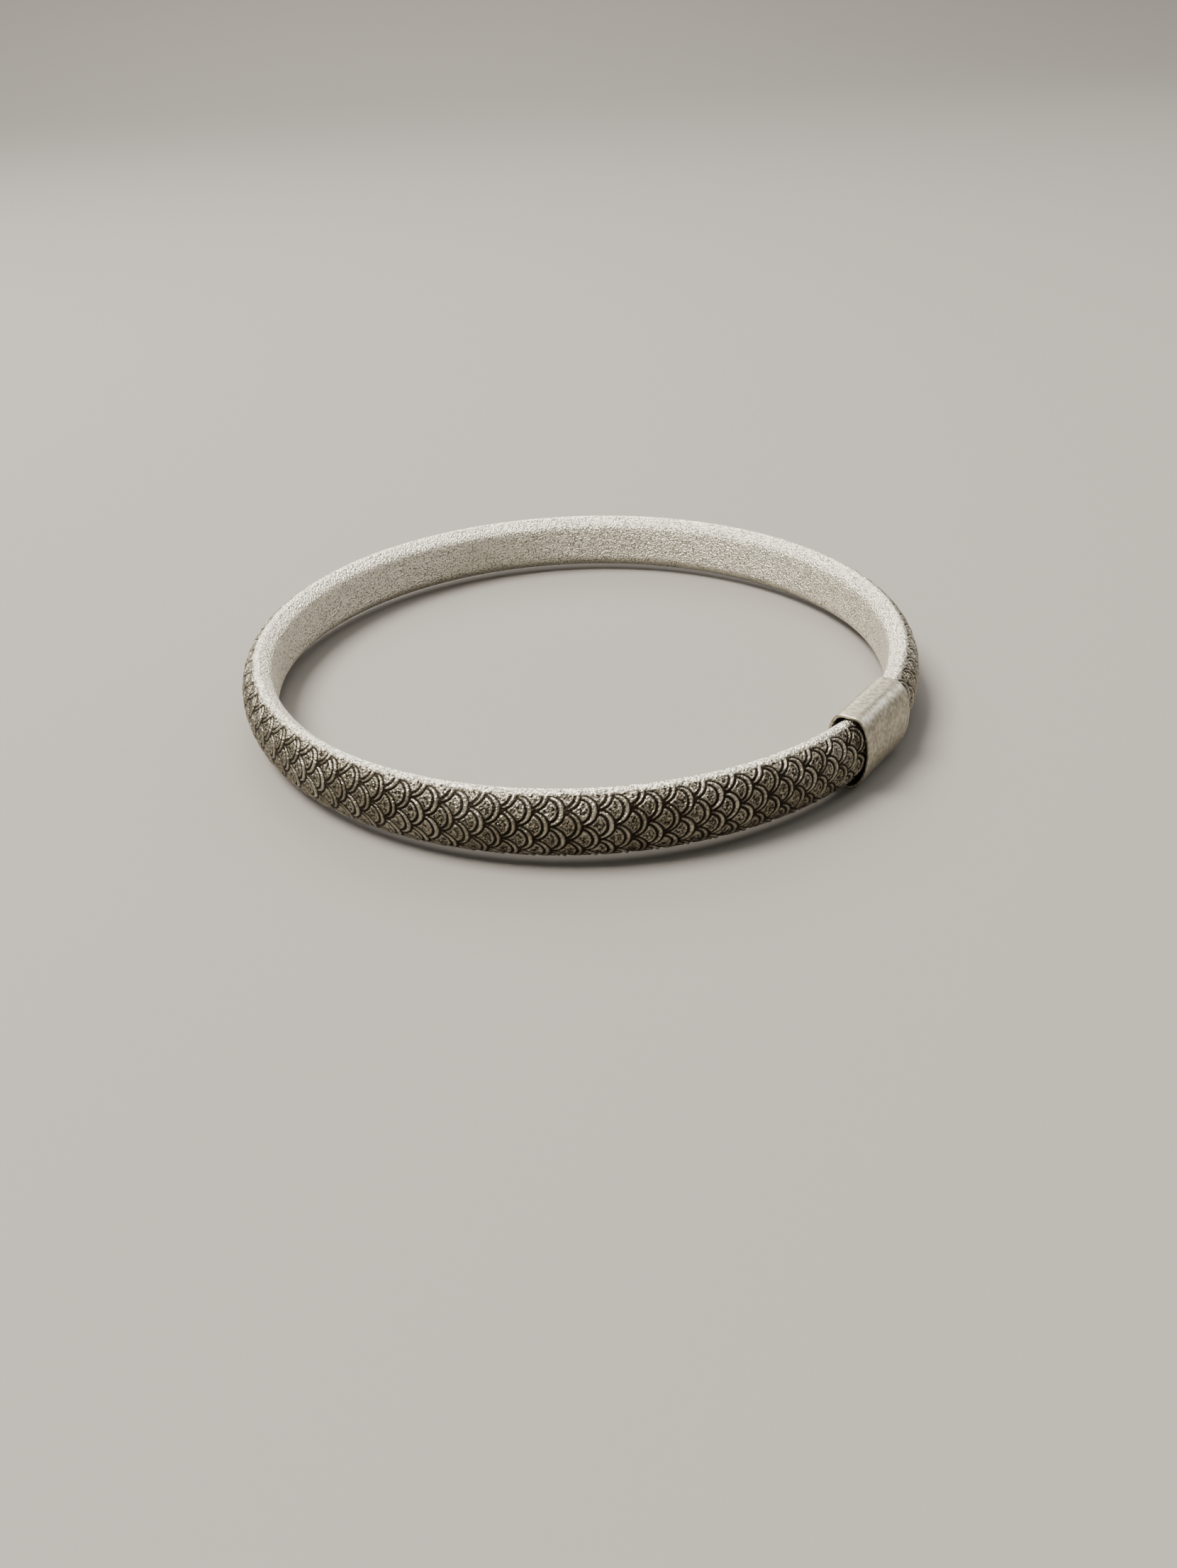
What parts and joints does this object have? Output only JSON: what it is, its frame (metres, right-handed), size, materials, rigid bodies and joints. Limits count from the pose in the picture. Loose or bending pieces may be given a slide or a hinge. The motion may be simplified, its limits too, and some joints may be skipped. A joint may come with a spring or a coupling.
{
  "type": "bangle",
  "caption": "Push-pull bangle: a springy fish-scale patterned band whose free end slides in a plain sleeve.",
  "frame": {"origin": "on the bangle's axis, at the level of its lowest point, the underside of the sleeve", "axes": "+Z along the bangle's axis; -Y is the side seen first; the sleeve is at azimuth -37.2 degrees from +X, and its open mouth faces -Y"},
  "size_m": [0.065, 0.065, 0.0068],
  "materials": {
    "patterned_silver": "cast silver, fish-scale relief with dark oxidised recesses, frosted edges and wrist side",
    "satin_silver": "plain satin silver"
  },
  "bodies": {
    "root": {"band": "patterned_silver", "sleeve": "satin_silver"}
  },
  "joints": []
}
